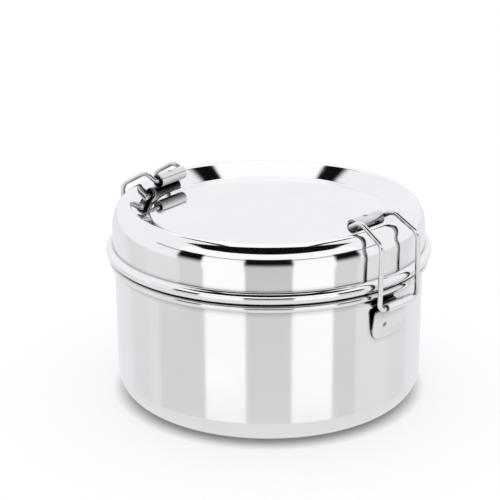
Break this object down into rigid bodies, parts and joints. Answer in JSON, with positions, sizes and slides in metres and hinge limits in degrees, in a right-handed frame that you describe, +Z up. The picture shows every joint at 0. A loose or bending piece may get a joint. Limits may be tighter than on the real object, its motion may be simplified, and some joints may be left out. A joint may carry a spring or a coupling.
{
  "type": "spice box",
  "caption": "Round stainless steel spice box with a dished lid held by two wire clips, and cups, a plate and a spoon inside.",
  "frame": {"origin": "centre of the flat base on which the box stands", "axes": "+Z up along the axis of the box, +X towards the right clip, +Y along that clip's crossbar"},
  "size_m": [0.1548, 0.1476, 0.0947],
  "materials": {
    "box_steel": "bright polished stainless steel",
    "lid_steel": "bright polished stainless steel",
    "bracket_steel": "polished stainless steel, spot welded",
    "wire_steel": "bright drawn steel wire",
    "grip_steel": "polished sheet steel, rolled",
    "plate_steel": "polished stainless steel",
    "cup_steel": "polished stainless steel",
    "spoon_steel": "polished stainless steel"
  },
  "bodies": {
    "box": {"body_shell": "box_steel", "right_hinge_bracket": "bracket_steel", "left_hinge_bracket": "bracket_steel"},
    "lid": {"lid_shell": "lid_steel"},
    "right_bail": {"right_bail_wire": "wire_steel"},
    "left_bail": {"left_bail_wire": "wire_steel"},
    "right_grip": {"right_thumb_grip": "grip_steel"},
    "left_grip": {"left_thumb_grip": "grip_steel"},
    "plate": {"inner_plate": "plate_steel", "plate_knob": "plate_steel"},
    "spoon": {"spice_spoon": "spoon_steel"},
    "cup_1": {"spice_cup_1": "cup_steel"},
    "cup_2": {"spice_cup_2": "cup_steel"},
    "cup_3": {"spice_cup_3": "cup_steel"},
    "cup_4": {"spice_cup_4": "cup_steel"},
    "cup_5": {"spice_cup_5": "cup_steel"},
    "cup_6": {"spice_cup_6": "cup_steel"},
    "cup_7": {"spice_cup_7": "cup_steel"}
  },
  "joints": [
    {"name": "lid_lift", "type": "slide", "parent": "box", "child": "lid", "axis": [0, 0, 1], "range_m": [0, 0.01]},
    {"name": "right_bail_swing", "type": "hinge", "parent": "box", "child": "right_bail", "pos_m": [0.0752, 0, 0.0586], "axis": [0, 1, 0], "range_deg": [0, 180]},
    {"name": "left_bail_swing", "type": "hinge", "parent": "box", "child": "left_bail", "pos_m": [-0.07435, -0.01124, 0.0586], "axis": [0.1495, -0.9888, 0], "range_deg": [0, 180]},
    {"name": "right_grip_turn", "type": "hinge", "parent": "right_bail", "child": "right_grip", "pos_m": [0.0563, 0, 0.0908], "axis": [0, 1, 0], "continuous": true},
    {"name": "left_grip_turn", "type": "hinge", "parent": "left_bail", "child": "left_grip", "pos_m": [-0.05567, -0.00842, 0.0908], "axis": [0.1495, -0.9888, 0], "continuous": true},
    {"name": "plate_lift", "type": "slide", "parent": "box", "child": "plate", "axis": [0, 0, 1], "range_m": [0, 0.006]},
    {"name": "spoon_lift", "type": "slide", "parent": "plate", "child": "spoon", "axis": [0, 0, 1], "range_m": [0, 0.002]},
    {"name": "cup_1_lift", "type": "slide", "parent": "box", "child": "cup_1", "axis": [0, 0, 1], "range_m": [0, 0.003]},
    {"name": "cup_2_lift", "type": "slide", "parent": "box", "child": "cup_2", "axis": [0, 0, 1], "range_m": [0, 0.003]},
    {"name": "cup_3_lift", "type": "slide", "parent": "box", "child": "cup_3", "axis": [0, 0, 1], "range_m": [0, 0.003]},
    {"name": "cup_4_lift", "type": "slide", "parent": "box", "child": "cup_4", "axis": [0, 0, 1], "range_m": [0, 0.003]},
    {"name": "cup_5_lift", "type": "slide", "parent": "box", "child": "cup_5", "axis": [0, 0, 1], "range_m": [0, 0.003]},
    {"name": "cup_6_lift", "type": "slide", "parent": "box", "child": "cup_6", "axis": [0, 0, 1], "range_m": [0, 0.003]},
    {"name": "cup_7_lift", "type": "slide", "parent": "box", "child": "cup_7", "axis": [0, 0, 1], "range_m": [0, 0.003]}
  ],
  "couplings": [
    {"joint": "right_bail_swing", "follows": "lid_lift", "rad_per_m": 314},
    {"joint": "left_bail_swing", "follows": "lid_lift", "rad_per_m": 314},
    {"joint": "plate_lift", "follows": "lid_lift", "ratio": 0.6},
    {"joint": "spoon_lift", "follows": "lid_lift", "ratio": 0.2},
    {"joint": "cup_1_lift", "follows": "lid_lift", "ratio": 0.3},
    {"joint": "cup_2_lift", "follows": "lid_lift", "ratio": 0.3},
    {"joint": "cup_3_lift", "follows": "lid_lift", "ratio": 0.3},
    {"joint": "cup_4_lift", "follows": "lid_lift", "ratio": 0.3},
    {"joint": "cup_5_lift", "follows": "lid_lift", "ratio": 0.3},
    {"joint": "cup_6_lift", "follows": "lid_lift", "ratio": 0.3},
    {"joint": "cup_7_lift", "follows": "lid_lift", "ratio": 0.3}
  ]
}
